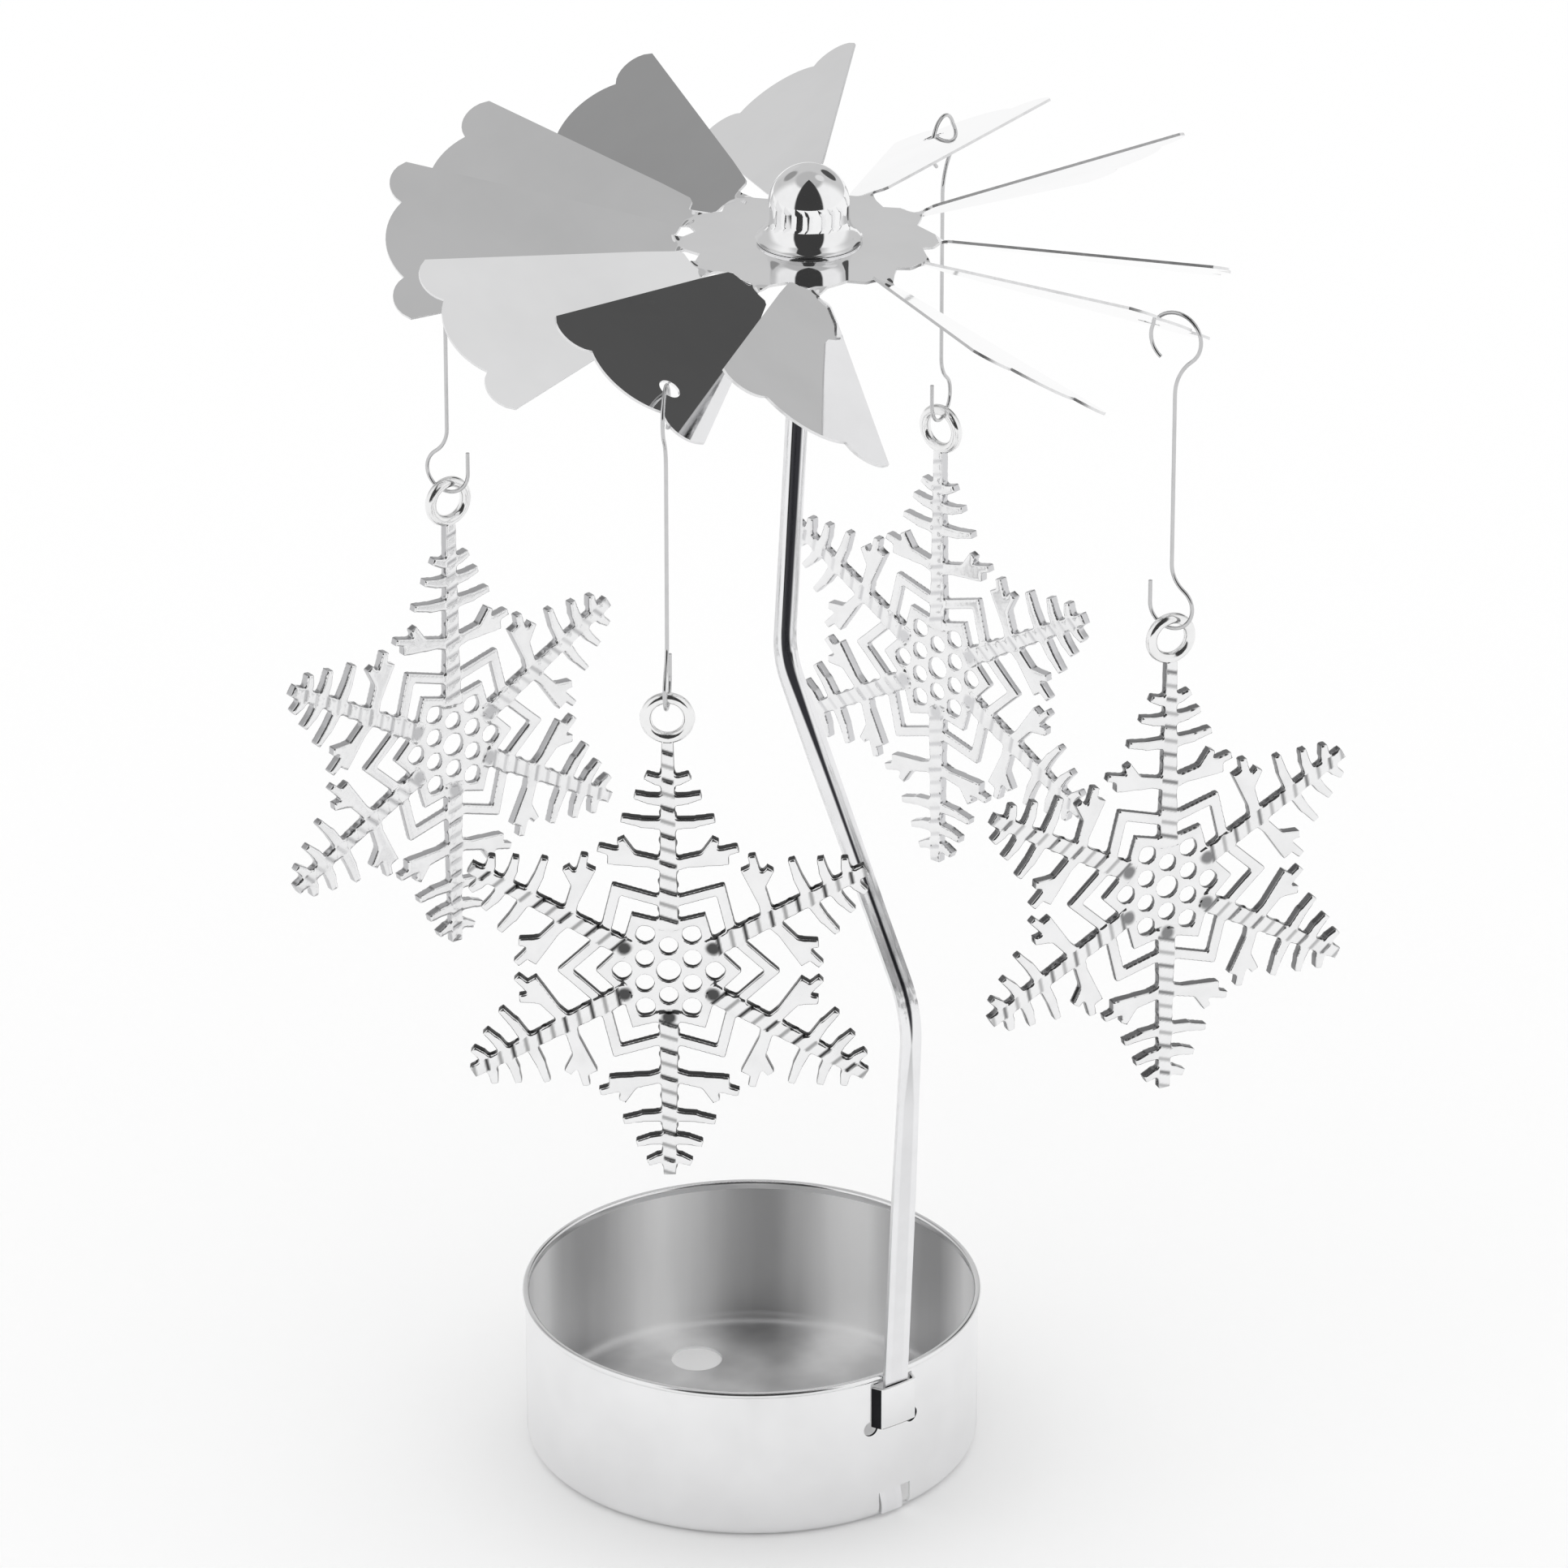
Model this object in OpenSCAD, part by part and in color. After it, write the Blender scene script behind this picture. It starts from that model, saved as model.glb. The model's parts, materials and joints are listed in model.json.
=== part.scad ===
// Rotating tealight holder: a tin cup with a woven-in strip stem, a rotor of twelve twisted
// blades on a pivot cap, and four snowflake charms that hang from wire hooks.
// Millimetres, +Z up, origin under the cup's centre, +X towards the stem.

/* [Cup] */
// Radius of the cup over its rolled rim
cup_r = 30; // [28:0.5:34]
// Height of the cup to the top of its rim
cup_h = 21.5; // [19:0.5:25]
// Thickness of the tin
tin_t = 0.35; // [0.3:0.05:0.5]
// Outer radius of the bend between wall and floor
floor_bend_r = 2; // [1.5:0.25:3]
// Radius of the rolled bead along the rim
bead_r = 0.45; // [0.4:0.05:0.6]
// Radius of the round hole in the floor
floor_hole_r = 3.4; // [2.5:0.1:4.5]
// Distance of the floor hole from the cup's centre
floor_hole_place = 20; // [16:0.5:22]
// Direction of the floor hole, degrees from the stem
floor_hole_turn = 164; // [120:1:240]

/* [Stem anchorage in the cup] */
// Width of the strap that holds the stem
strap_w = 6.6; // [6:0.2:8]
// How far the strap stands out of the wall
strap_stand = 1.4; // [1.4:0.05:1.6]
// Height of the slit under the strap
slit_z = 13.8; // [12.5:0.1:14.5]
// Height of each slit
slit_h = 0.5; // [0.4:0.05:0.7]
// Radius of the relief holes at the ends of the lower slit
relief_r = 1.05; // [0.8:0.05:1.3]
// Height of the foot slot's upper edge
foot_slot_z = 4; // [3.6:0.1:5]

/* [Stem] */
// Width of the stem where it is pressed flat
stem_w = 3.7; // [3.2:0.1:3.9]
// Depth of the channel pressed into the stem
channel_d = 0.7; // [0.5:0.1:1]
// Thickness of the stem's strip
stem_t = 0.5; // [0.4:0.05:0.6]
// Distance of the lower bend from the cup's axis
low_bend_reach = 33.2; // [32:0.1:35]
// Height of the lower bend
low_bend_z = 74; // [68:0.2:78]
// Distance of the upper bend from the cup's axis
top_bend_reach = 6.7; // [5:0.1:9]
// Height of the upper bend
top_bend_z = 114.2; // [108:0.2:118]

/* [Rotor] */
// Distance of the rotor's axis from the cup's axis
hub_x = 11.9; // [10:0.1:13]
// Height of the rotor's flat plate
plate_z = 172; // [170:0.5:180]
// Thickness of the rotor's sheet
sheet_t = 0.35; // [0.3:0.05:0.45]
// Radius where the slots between the blades begin
slot_r = 14.2; // [13.5:0.1:15]
// Radius of the narrow twisted necks
neck_r = 16.4; // [16:0.1:17]
// Width of each neck
neck_w = 2.6; // [2:0.1:3]
// Radius at the corners of the blade tips
tip_r = 49.4; // [48:0.2:52]
// Width of the slots between the blades
slot_w = 3; // [2.6:0.1:3.4]
// Distance of the hook holes inwards from the corners of the tip
hole_inset = 3.9; // [3.4:0.1:4.2]
// Distance of the hook holes from the blade's centre line
hole_side = 3.9; // [3:0.1:4.4]
// Radius of the hook holes
hole_r = 1.4; // [1.2:0.05:1.6]
// Twist of the blades in degrees
blade_twist = 33; // [28:0.5:36]
// Direction of the first blade at rest, degrees from the stem
rotor_turn = -63.5; // [-180:0.5:180]

/* [Pivot cap] */
// Radius of the dome
dome_r = 5.05; // [4.8:0.05:5.4]
// Height of the straight wall under the dome
dome_wall_h = 5; // [4.5:0.1:6]
// Radius of the flange on the plate
flange_r = 6.6; // [6.3:0.1:7.2]
// Thickness of the cap's shell
shell_t = 0.4; // [0.35:0.05:0.5]

/* [Hooks] */
// Radius of the hook wire
wire_r = 0.25; // [0.22:0.01:0.3]
// Bend radius of the upper arch
arch_r = 3.4; // [3.4:0.05:3.6]
// Bend radius of the lower loop
loop_r = 2.9; // [2.7:0.05:3.1]
// Height between the centres of the arch and the loop
hook_h = 35.6; // [32:0.1:40]

/* [Charms] */
// Length of a snowflake arm from its centre
arm_l = 28.5; // [26:0.5:29]
// Thickness of the snowflake
flake_t = 1.4; // [1:0.1:1.8]
// Outer radius of the ring on top of the snowflake
ring_r = 3.35; // [3.3:0.05:3.6]
// Radius of the ring's round section
ring_tube_r = 0.72; // [0.6:0.01:0.78]

/* [Hidden] */
$fa = 6;
$fs = 0.12;
blade_count = 12;
blade_step = 360 / blade_count;
charm_blades = [0, 3, 6, 9];
hook_yaws = [20, 0, 0, 0];
charm_yaws = [5, -37, -15, -29];
// the necks are set by hand: veer, extra twist and rise of each blade, in whole degrees
blade_sets = [
    [0, 0, 0], [-4, 0, -5], [0, 0, -3], [-3, -4, -2],
    [-5, -9, -6], [0, 0, 0], [1, -9, -3], [0, 0, 1],
    [0, 0, 1], [0, -2, 1], [0, 0, 3], [0, 0, -2]
];
fit_gap = tin_t / 7;
run_gap = 6 * fit_gap;
wall_r = cup_r - bead_r + fit_gap;
slit_turn = asin(strap_w / 2 / wall_r);
strap_top_z = cup_h - 3 * bead_r;
bend_reach = 6 * stem_t;
blade_in_r = neck_r + neck_w / 4;
slope = tan(blade_step / 2);
tip_y = tip_r * slope - slot_w / 2;
cusp_y = 0.48 * tip_y;
cusp_x = tip_r + 0.06 * tip_y;
big_rise = 0.18 * tip_y;
small_rise = 0.15 * tip_y;
arch_x = 3.57 / 3.4 * arch_r;
arch_drop = 0.47 * arch_r;
arch_back_r = 1.82 * arch_r;
loop_back_r = 1.4 * loop_r;
ring_mid_r = ring_r - ring_tube_r;
ring_hang = ring_mid_r - ring_tube_r - wire_r - run_gap;
ring_to_flake = 1.19 * arm_l;
pivot_z = plate_z + dome_wall_h + dome_r - shell_t - run_gap / 2;

function polar(r, a) = [r * cos(a), r * sin(a)];
function blade_turn(i) = rotor_turn + i * blade_step + blade_sets[i][0];
function twist_of(i) = blade_twist + blade_sets[i][1];
function rise_of(i) = blade_sets[i][2];
// places on a flat arc from p to q that bulges by h to the right of the way from p to q
function bulge(p, q, h, n) =
    let (m = (p + q) / 2, c = norm(q - p) / 2, r = (c * c + h * h) / (2 * h),
        u = (q - p) / (2 * c), w = [u[1], -u[0]], o = m - w * (r - h), s = asin(c / r),
        f = h > c ? 180 - s : s)
    [for (k = [0 : n]) let (a = -f + 2 * f * k / n) o + r * (w * cos(a) + u * sin(a))];

// the hook hole's place in the blade's own frame: outwards, sideways, up
function hole_place(i) =
    let (a = tip_r - hole_inset - slot_r, t = twist_of(i), e = rise_of(i))
    [slot_r + a * cos(e) + hole_side * sin(t) * sin(e), hole_side * cos(t),
        a * sin(e) - hole_side * sin(t) * cos(e)];

module in_blade(i) {
    translate([hub_x, 0, plate_z]) rotate([0, 0, blade_turn(i)]) children();
}

module hang(i) {
    in_blade(i) translate(hole_place(i)) rotate([0, 0, hook_yaws[search(i, charm_blades)[0]]])
        translate([arch_x, 0, -arch_drop]) children();
}

module tin() {
    rotate_extrude() {
        square([wall_r - floor_bend_r, tin_t]);
        translate([wall_r - floor_bend_r, floor_bend_r]) intersection() {
            difference() {
                circle(r = floor_bend_r);
                circle(r = floor_bend_r - tin_t);
            }
            translate([0, -floor_bend_r]) square(floor_bend_r);
        }
        translate([wall_r - tin_t, floor_bend_r]) square([tin_t, cup_h - floor_bend_r - bead_r]);
        translate([cup_r - bead_r, cup_h - bead_r]) circle(r = bead_r);
    }
}

module cup() {
    color([0.86, 0.86, 0.87]) {
        difference() {
            tin();
            // the window behind the strap
            translate([wall_r - 2 * strap_stand, -strap_w / 2, slit_z - slit_h / 2])
                cube([3 * strap_stand, strap_w, strap_top_z - slit_z + slit_h / 2]);
            for (a = [-slit_turn, slit_turn])
                rotate([0, 0, a]) translate([wall_r - floor_bend_r, 0, slit_z])
                    rotate([0, 90, 0]) cylinder(r = relief_r, h = 2 * floor_bend_r);
            // the slot at the foot
            translate([wall_r - floor_bend_r / 2, -0.55 * stem_w, tin_t * 2])
                cube([floor_bend_r, 1.4 * stem_w, foot_slot_z - tin_t * 2]);
            rotate([0, 0, floor_hole_turn]) translate([floor_hole_place, 0, -tin_t])
                cylinder(r = floor_hole_r, h = 3 * tin_t);
        }
        // the strap: fast at one side, its free end beside a narrow gap
        translate([0, 0, slit_z + slit_h / 2])
            linear_extrude(height = strap_top_z - slit_z - slit_h)
                polygon(concat(
                    [for (k = [-8 : 2 : 8]) polar(wall_r + strap_stand, slit_turn * k / 10)],
                    [polar(wall_r, slit_turn * 1.12), polar(wall_r - tin_t, slit_turn * 1.12),
                        polar(wall_r - tin_t, slit_turn)],
                    [for (k = [7 : -2 : -8]) polar(wall_r + strap_stand - tin_t, slit_turn * k / 10)],
                    [polar(wall_r + strap_stand - tin_t, -slit_turn * 0.8)]));
    }
}

// stations up the stem: outwards, height, half width, channel depth
inner_x = sqrt(pow(wall_r - tin_t, 2) - pow(stem_w / 2, 2)) - stem_t / 2 - fit_gap;
outer_x = cup_r + stem_t / 2 + fit_gap;
leg_h = low_bend_z - cup_h;
lean = low_bend_reach - outer_x;
stem_stations = [
    [wall_r - tin_t / 2, 2.4 * tin_t, 0.45 * stem_w, 0],
    [wall_r - tin_t / 2, 0.55 * foot_slot_z, 0.45 * stem_w, 0],
    [inner_x, foot_slot_z, 0.46 * stem_w, 0],
    [inner_x, slit_z - 2 * slit_h, 0.47 * stem_w, 0],
    [(inner_x + outer_x) / 2 + stem_t / 5, (slit_z + strap_top_z) / 2, 0.48 * stem_w, 0],
    [outer_x, strap_top_z, 0.49 * stem_w, 0],
    [outer_x, cup_h, 0.5 * stem_w, 0.05 * channel_d],
    [outer_x + 0.15 * lean, cup_h + 0.15 * leg_h, 0.5 * stem_w, 0.1 * channel_d],
    [outer_x + 0.5 * lean, cup_h + 0.5 * leg_h, 0.49 * stem_w, 0.2 * channel_d],
    [outer_x + 0.8 * lean, cup_h + 0.8 * leg_h, 0.43 * stem_w, 0.5 * channel_d],
    [low_bend_reach - 0.06 * bend_reach, low_bend_z - bend_reach, 0.42 * stem_w, 0.9 * channel_d],
    [low_bend_reach - 0.16 * bend_reach, low_bend_z - 0.04 * bend_reach, 0.41 * stem_w, channel_d],
    [low_bend_reach - 0.55 * bend_reach, low_bend_z + 0.84 * bend_reach, 0.41 * stem_w, channel_d],
    [0.72 * low_bend_reach + 0.28 * top_bend_reach, 0.72 * low_bend_z + 0.28 * top_bend_z,
        0.41 * stem_w, channel_d],
    [0.3 * low_bend_reach + 0.7 * top_bend_reach, 0.3 * low_bend_z + 0.7 * top_bend_z,
        0.47 * stem_w, channel_d],
    [top_bend_reach + 0.55 * bend_reach, top_bend_z - 0.84 * bend_reach, 0.46 * stem_w, channel_d],
    [top_bend_reach + 0.16 * bend_reach, top_bend_z + 0.04 * bend_reach, 0.45 * stem_w, channel_d],
    [top_bend_reach + 0.07 * bend_reach, top_bend_z + bend_reach, 0.44 * stem_w, channel_d],
    [0.12 * top_bend_reach + 0.88 * hub_x, 0.12 * top_bend_z + 0.88 * pivot_z,
        0.43 * stem_w, 0.85 * channel_d],
    [0.05 * top_bend_reach + 0.95 * hub_x, 0.04 * top_bend_z + 0.96 * pivot_z,
        0.36 * stem_w, 0.6 * channel_d],
    [hub_x, pivot_z, 0.05 * stem_w, 0]
];
// shares across the channel: sideways, outwards
channel_shares = [[-1, 1], [-0.82, 0.35], [-0.45, 0.06], [0, 0], [0.45, 0.06], [0.82, 0.35], [1, 1]];

function station_way(k) =
    let (n = len(stem_stations), p = stem_stations[max(k - 1, 0)],
        q = stem_stations[min(k + 1, n - 1)], v = [q[0] - p[0], q[1] - p[1]])
    v / norm(v);
function station_ring(k) =
    let (s = stem_stations[k], w = station_way(k), x = w[1], z = -w[0],
        t = k == len(stem_stations) - 1 ? stem_t / 6 : stem_t / 2, m = len(channel_shares))
    concat(
        [for (c = channel_shares) let (d = (c[1] - 0.4) * s[3] + t)
            [s[0] + x * d, c[0] * s[2], s[1] + z * d]],
        [for (j = [m - 1 : -1 : 0]) let (c = channel_shares[j], d = (c[1] - 0.4) * s[3] - t)
            [s[0] + x * d, c[0] * s[2], s[1] + z * d]]);

// a solid skinned over rings of places, each ring with h places on its front and h on its back
module skin(rings) {
    n = len(rings);
    m = len(rings[0]);
    h = m / 2;
    o = (n - 1) * m;
    polyhedron(
        points = [for (r = rings) each r],
        faces = concat(
            [for (k = [0 : n - 2]) for (j = [0 : m - 1])
                each [[k * m + j, k * m + (j + 1) % m, (k + 1) * m + j],
                    [k * m + (j + 1) % m, (k + 1) * m + (j + 1) % m, (k + 1) * m + j]]],
            [for (j = [0 : h - 2]) each [[j, m - 1 - j, j + 1], [j + 1, m - 1 - j, m - 2 - j]]],
            [for (j = [0 : h - 2])
                each [[o + j, o + j + 1, o + m - 1 - j], [o + j + 1, o + m - 2 - j, o + m - 1 - j]]]),
        convexity = 8);
}

module stem() {
    color([0.88, 0.88, 0.89])
        skin([for (k = [0 : len(stem_stations) - 1]) station_ring(k)]);
}

// the outline of one blade: the neck end at slot_r, three lobes at the tip
module blade_outline() {
    in_y = blade_in_r * slope - slot_w / 2;
    polygon(concat(
        [[blade_in_r, -in_y + slot_w / 6], [blade_in_r + slot_w / 6, -in_y]],
        bulge([tip_r, -tip_y], [cusp_x, -cusp_y], small_rise, 6),
        bulge([cusp_x, -cusp_y], [cusp_x, cusp_y], big_rise, 8),
        bulge([cusp_x, cusp_y], [tip_r, tip_y], small_rise, 6),
        [[blade_in_r + slot_w / 6, in_y], [blade_in_r, in_y - slot_w / 6]]));
}

function neck_ring(i, share) =
    let (x = neck_r - sheet_t + share * (blade_in_r - neck_r + 2 * sheet_t),
        z = (x - slot_r) * sin(rise_of(i)), a = -twist_of(i) * share,
        y = neck_w / 2, t = sheet_t / 2)
    [for (p = [[-y, t], [y, t], [y, -t], [-y, -t]])
        [x, p[0] * cos(a) - p[1] * sin(a), z * share + p[0] * sin(a) + p[1] * cos(a)]];

module blade(i, holed) {
    in_blade(i) {
        translate([slot_r, 0, 0]) rotate([0, -rise_of(i), 0]) rotate([-twist_of(i), 0, 0])
            translate([-slot_r, 0, -sheet_t / 2]) linear_extrude(height = sheet_t) difference() {
                blade_outline();
                if (holed) translate([tip_r - hole_inset, hole_side]) circle(r = hole_r, $fn = 24);
            }
        // the neck turns from the plate's level to the blade's
        skin([for (k = [0 : 4]) neck_ring(i, k / 4)]);
    }
}

module rotor() {
    color([0.9, 0.9, 0.9]) {
        translate([hub_x, 0, plate_z - sheet_t / 2]) linear_extrude(height = sheet_t) difference() {
            polygon([for (i = [0 : blade_count - 1]) let (a = blade_turn(i)) each [
                polar(slot_r, rotor_turn + (i - 0.5) * blade_step),
                polar(neck_r, a - neck_w / neck_r * 28), polar(neck_r, a + neck_w / neck_r * 28)]]);
            circle(r = dome_r + fit_gap);
        }
        for (i = [0 : blade_count - 1]) blade(i, len(search(i, charm_blades)) > 0);
    }
}

module pivot_cap() {
    color([0.84, 0.84, 0.85]) translate([hub_x, 0, plate_z]) {
        rotate_extrude() difference() {
            union() {
                translate([0, dome_wall_h]) circle(r = dome_r);
                translate([0, -sheet_t / 2 - shell_t])
                    square([dome_r, dome_wall_h + sheet_t / 2 + shell_t]);
                // the skirt and the flange on the plate
                polygon([[0, sheet_t / 2], [flange_r, sheet_t / 2],
                    [flange_r, sheet_t / 2 + shell_t / 2],
                    [flange_r - shell_t, sheet_t / 2 + shell_t],
                    [dome_r, dome_wall_h * 0.45], [0, dome_wall_h * 0.45]]);
                // the lip rolled over under the plate
                translate([0, -sheet_t / 2 - shell_t]) square([dome_r + 2 * shell_t, shell_t]);
            }
            translate([0, dome_wall_h]) circle(r = dome_r - shell_t);
            translate([0, -dome_wall_h]) square([dome_r - shell_t, 2 * dome_wall_h]);
            translate([-2 * flange_r, -dome_wall_h]) square([2 * flange_r, 4 * dome_wall_h]);
        }
    }
}

// places round a wire bend about [x, z]: sideways and up, with the way the wire runs
function bend_places(x, z, r, a0, a1, n) =
    let (s = a1 > a0 ? 90 : -90)
    [for (k = [0 : n]) let (a = a0 + (a1 - a0) * k / n) [x + r * cos(a), z + r * sin(a), a + s]];
function wire_ring(p, r) =
    [for (k = [0 : 7]) let (a = 202.5 - 45 * k, u = r * cos(a), v = r * sin(a))
        [p[0] + u * sin(p[2]), v, p[1] - u * cos(p[2])]];

module hook(i) {
    top = acos(arch_back_r / (arch_r + arch_back_r));
    low = acos(loop_back_r / (loop_r + loop_back_r));
    arch_end = -(arch_r + arch_back_r) * sin(top);
    loop_end = -hook_h + (loop_r + loop_back_r) * sin(low);
    places = concat(
        bend_places(0, 0, arch_r, 234, -top, 16),
        [for (p = bend_places(arch_back_r, arch_end, arch_back_r, 180 - top, 180, 5))
            if (p[2] > 270 - top) p],
        bend_places(loop_back_r, loop_end, loop_back_r, 180, 180 + low, 4),
        [for (p = bend_places(0, -hook_h, loop_r, low, -180, 14)) if (p[2] < low - 90) p],
        [[-loop_r, loop_r - hook_h, -270]]);
    color([0.8, 0.8, 0.81]) hang(i) skin([for (p = places) wire_ring(p, wire_r)]);
}

module at_ring(i, yaw) {
    hang(i) translate([0, 0, -hook_h - loop_r - ring_hang]) rotate([0, 0, yaw]) children();
}

module ring(i, yaw) {
    color([0.82, 0.82, 0.83]) at_ring(i, yaw) rotate([0, 90, 0])
        rotate_extrude() translate([ring_mid_r, 0]) circle(r = ring_tube_r);
}

// all lengths inside the snowflake are shares of the arm's length
function barb(y, l, a, b) =
    arm_l * [[-l * sin(a), y + l * cos(a)], [0, y + b], [l * sin(a), y + l * cos(a)], [0, y - b]];

module star_band(peak, valley, w) {
    difference() {
        polygon([for (k = [0 : 11])
            polar(arm_l * (k % 2 == 0 ? valley + w : peak + 1.2 * w), 90 + 30 * k)]);
        polygon([for (k = [0 : 11])
            polar(arm_l * (k % 2 == 0 ? valley - w : peak - w), 90 + 30 * k)]);
    }
}

module flake_arm() {
    polygon(arm_l * [[-0.036, 0.18], [0.036, 0.18], [0.022, 0.95], [0, 0.985], [-0.022, 0.95]]);
    polygon(barb(0.72, 0.185, 80, 0.016));
    polygon(barb(0.81, 0.135, 80, 0.015));
    polygon(barb(0.9, 0.08, 80, 0.014));
    for (s = [-1, 1]) {
        polygon(arm_l * [[0, 0.51], [s * 0.27, 0.615], [0, 0.57]]);
        polygon(arm_l * [[s * 0.17, 0.64], [s * 0.2, 0.595], [s * 0.205, 0.515], [s * 0.165, 0.575]]);
    }
}

module flake(i, yaw) {
    color([0.85, 0.85, 0.86]) at_ring(i, yaw) translate([-flake_t / 2, 0, -ring_to_flake])
        rotate([90, 0, 90]) linear_extrude(height = flake_t) offset(r = 0.01 * arm_l, $fn = 8)
            difference() {
                union() {
                    circle(r = 0.265 * arm_l, $fn = 12);
                    for (k = [0 : 5]) rotate(60 * k) flake_arm();
                    star_band(0.48, 0.345, 0.012);
                    star_band(0.325, 0.25, 0.012);
                    // the neck up to the ring
                    translate([-0.022 * arm_l, 0.95 * arm_l])
                        square([0.044 * arm_l, ring_to_flake - ring_r + ring_tube_r / 2 - 0.95 * arm_l]);
                }
                circle(r = 0.061 * arm_l, $fn = 6);
                for (k = [0 : 5]) {
                    rotate(60 * k) translate([0, 0.123 * arm_l]) circle(r = 0.045 * arm_l, $fn = 6);
                    rotate(60 * k + 30) translate([0, 0.207 * arm_l]) circle(r = 0.047 * arm_l, $fn = 6);
                }
            }
}

module hook_a() { hook(charm_blades[0]); }
module hook_b() { hook(charm_blades[1]); }
module hook_c() { hook(charm_blades[2]); }
module hook_d() { hook(charm_blades[3]); }
module ring_a() { ring(charm_blades[0], charm_yaws[0]); }
module ring_b() { ring(charm_blades[1], charm_yaws[1]); }
module ring_c() { ring(charm_blades[2], charm_yaws[2]); }
module ring_d() { ring(charm_blades[3], charm_yaws[3]); }
module flake_a() { flake(charm_blades[0], charm_yaws[0]); }
module flake_b() { flake(charm_blades[1], charm_yaws[1]); }
module flake_c() { flake(charm_blades[2], charm_yaws[2]); }
module flake_d() { flake(charm_blades[3], charm_yaws[3]); }

cup();
stem();
rotor();
pivot_cap();
hook_a();
hook_b();
hook_c();
hook_d();
ring_a();
ring_b();
ring_c();
ring_d();
flake_a();
flake_b();
flake_c();
flake_d();
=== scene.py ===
import json
import math

import bmesh
import bpy
from mathutils import Matrix, Vector


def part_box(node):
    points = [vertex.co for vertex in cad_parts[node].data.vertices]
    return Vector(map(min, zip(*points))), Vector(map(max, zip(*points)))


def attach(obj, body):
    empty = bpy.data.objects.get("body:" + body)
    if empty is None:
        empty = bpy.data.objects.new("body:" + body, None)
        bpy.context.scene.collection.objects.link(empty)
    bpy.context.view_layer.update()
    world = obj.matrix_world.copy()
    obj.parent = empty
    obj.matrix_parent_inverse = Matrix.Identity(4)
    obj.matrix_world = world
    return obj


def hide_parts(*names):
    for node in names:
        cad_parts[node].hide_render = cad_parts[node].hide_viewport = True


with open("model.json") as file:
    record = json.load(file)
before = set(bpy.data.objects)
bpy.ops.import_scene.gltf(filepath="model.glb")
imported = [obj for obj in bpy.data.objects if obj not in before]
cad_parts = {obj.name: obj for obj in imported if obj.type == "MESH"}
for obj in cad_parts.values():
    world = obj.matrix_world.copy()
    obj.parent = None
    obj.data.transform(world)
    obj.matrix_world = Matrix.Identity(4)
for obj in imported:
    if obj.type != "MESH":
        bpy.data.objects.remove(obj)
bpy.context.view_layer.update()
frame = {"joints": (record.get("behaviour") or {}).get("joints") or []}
joint_of = {joint["name"]: joint for joint in frame["joints"]}
mm = 0.001


# Cup: one tin drawn from thin sheet, its rim rolled outwards to a bead. A strap is pressed
# out of the wall to hold the stem, and a slot at the foot takes the stem's end.
# Tin is bright outside and satin inside, where the drawing tool has rubbed it.
rim_r = -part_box("cup")[0].x
cup_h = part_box("cup")[1].z
tin_t = 0.35 * mm
bead_r = 0.45 * mm
bead_overlap = 0.05 * mm
floor_bend_r = 2 * mm
wall_r = rim_r - bead_r + bead_overlap
wall_mid_r = wall_r - tin_t / 2
strap_half_w = 3.3 * mm
strap_stand = 1.4 * mm
strap_bevel = 0.12 * mm
slit_z = 13.8 * mm
slit_h = 0.5 * mm
slit_turn = math.asin(strap_half_w / wall_r)
relief_r = 1.05 * mm
strap_top_z = cup_h - 3 * bead_r
foot_slot_z = 4 * mm
foot_slot_side = -2.035 * mm
foot_slot_w = 5.18 * mm
floor_hole_r = 3.4 * mm
floor_hole_turn = math.radians(164)
floor_hole_place = Matrix.Rotation(floor_hole_turn, 3, "Z") @ Vector((20 * mm, 0, 0))
film_tone = 0.94
scratch_roughness = 0.05
tin_colour = (0.87, 0.87, 0.875, 1)
satin_light = (1, 1, 1, 1)
satin_dark = (0.62, 0.62, 0.625, 1)
band_count = 7
band_turn = math.radians(166)
cloud_size = 150
cloud_stretch = 0.08
cloud_weight = 1.8
dull_from = -0.1
dull_to = 1.9
dull_metallic = 0.3
# near-black painted shade for the strap's bent-in side and underside and the low cut edges
shade_colour = (0.025, 0.025, 0.028, 1)


def only(piece):
    """Makes this piece the only selected one."""
    bpy.ops.object.select_all(action="DESELECT")
    piece.select_set(True)
    bpy.context.view_layer.objects.active = piece


def settle(piece):
    """Puts the piece's place into its mesh."""
    only(piece)
    bpy.ops.object.transform_apply(location=True, rotation=True, scale=True)
    return piece


def fresh(add, name, **settings):
    """Adds a primitive with nothing else selected and puts its place into its mesh."""
    bpy.ops.object.select_all(action="DESELECT")
    add(**settings)
    piece = bpy.context.object
    piece.name = piece.data.name = name
    return settle(piece)


def modify(piece, kind, **settings):
    """Adds a modifier and applies it."""
    only(piece)
    modifier = piece.modifiers.new(kind, kind)
    for key, value in settings.items():
        setattr(modifier, key, value)
    bpy.ops.object.modifier_apply(modifier=modifier.name)


def cut(piece, tool):
    """Cuts the tool's shape out of the piece."""
    modify(piece, "BOOLEAN", operation="DIFFERENCE", object=tool, solver="EXACT")
    bpy.data.objects.remove(tool)


def choose(piece, test):
    """Selects, in edit mode, the vertices whose place passes the test."""
    bpy.ops.mesh.select_all(action="DESELECT")
    mesh = bmesh.from_edit_mesh(piece.data)
    for v in mesh.verts:
        v.select_set(test(v.co))
    mesh.select_flush(True)
    bmesh.update_edit_mesh(piece.data)


def join(name, pieces):
    """Joins pieces into one object of that name."""
    only(pieces[0])
    for piece in pieces:
        piece.select_set(True)
    bpy.ops.object.join()
    pieces[0].name = pieces[0].data.name = name
    return pieces[0]


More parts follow.
